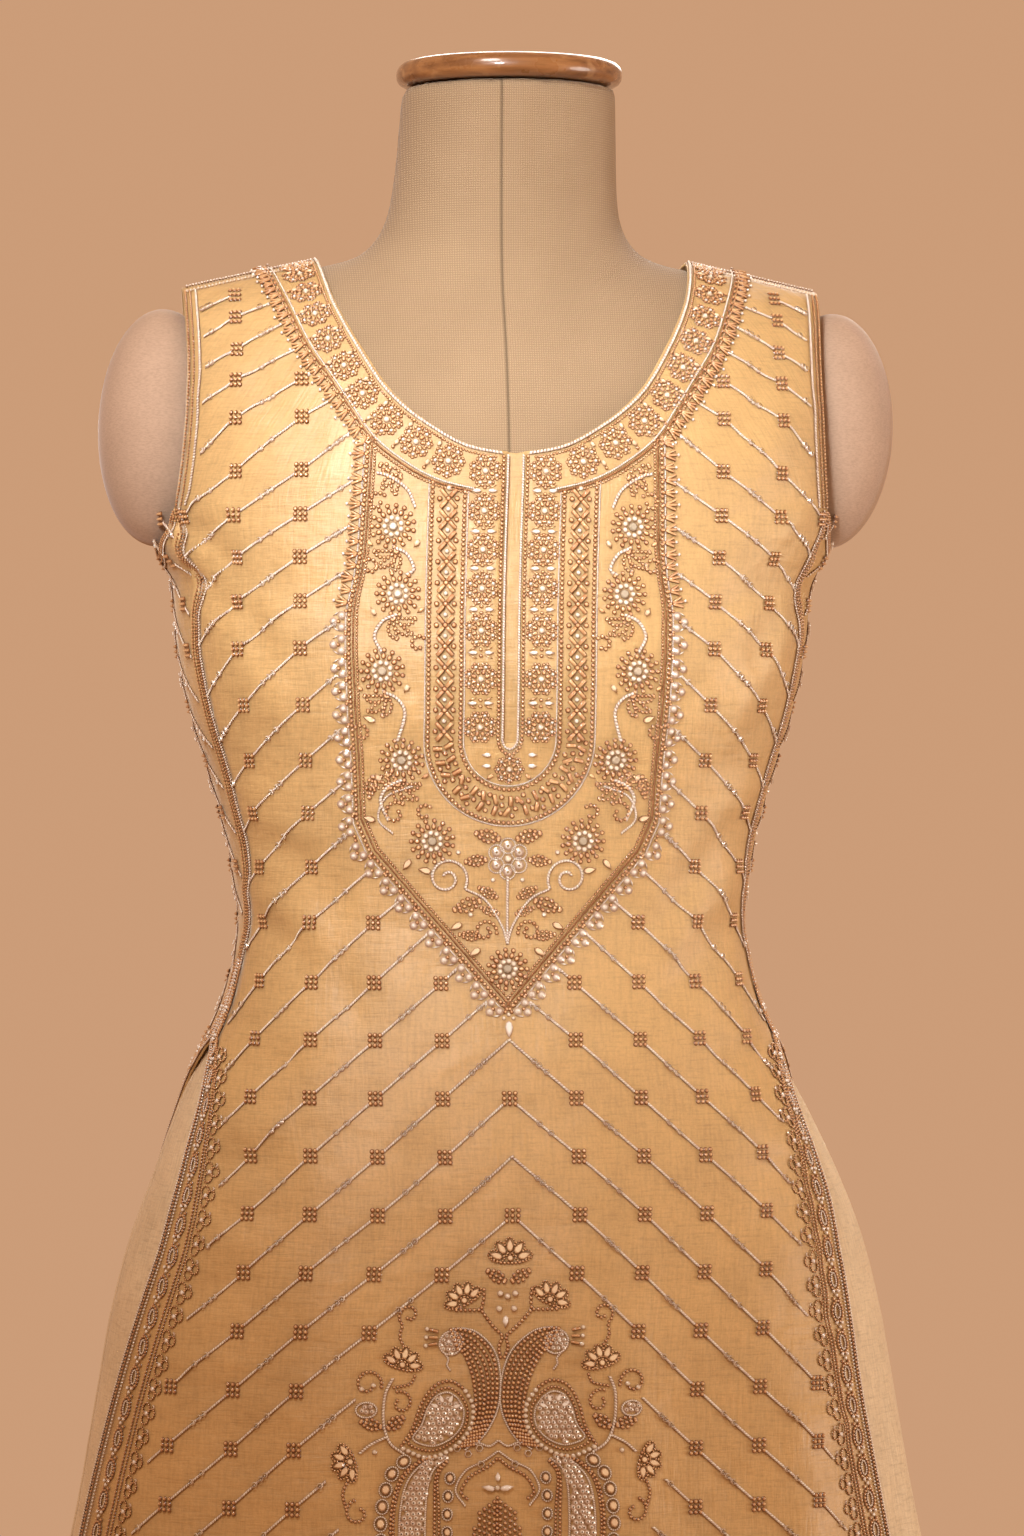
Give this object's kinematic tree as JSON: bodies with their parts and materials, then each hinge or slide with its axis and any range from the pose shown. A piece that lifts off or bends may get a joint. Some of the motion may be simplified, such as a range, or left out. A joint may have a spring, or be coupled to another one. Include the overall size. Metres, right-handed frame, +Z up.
{
  "type": "sharara set on a dress form",
  "caption": "Sleeveless beaded A-line kurta with side slits over flared sharara trousers, worn by a limbless dress form on a round stand.",
  "frame": {"origin": "on the floor, at the middle of the outline seen from above", "axes": "+Z up, the front of the garment faces -Y, and +X is to the right of a person facing its front"},
  "size_m": [0.7066, 0.492, 1.496],
  "materials": {
    "embroidered_silk": "golden tan raw silk with a satin sheen",
    "plain_silk": "plain gold tissue silk with a fine crosswise slub",
    "copper_beads": "rose-copper glazed glass beads and bugles",
    "pale_beads": "ivory and champagne pearls and crystals",
    "silver_thread": "twisted pale silver metal thread",
    "form_canvas": "matte tan canvas",
    "form_jersey": "matte pinkish jersey over padding",
    "polished_wood": "glossy varnished brown",
    "stand_steel": "satin steel"
  },
  "bodies": {
    "root": {"kurta_front": "embroidered_silk", "kurta_back": "embroidered_silk", "slit_placket": "plain_silk", "sharara_front_left": "plain_silk", "sharara_front_right": "plain_silk", "sharara_back_left": "plain_silk", "sharara_back_right": "plain_silk", "sharara_waistband": "plain_silk", "form_torso": "form_canvas", "form_arm_left": "form_jersey", "form_arm_right": "form_jersey", "form_cap": "polished_wood", "stand_pole": "stand_steel", "stand_base": "stand_steel"}
  },
  "joints": []
}
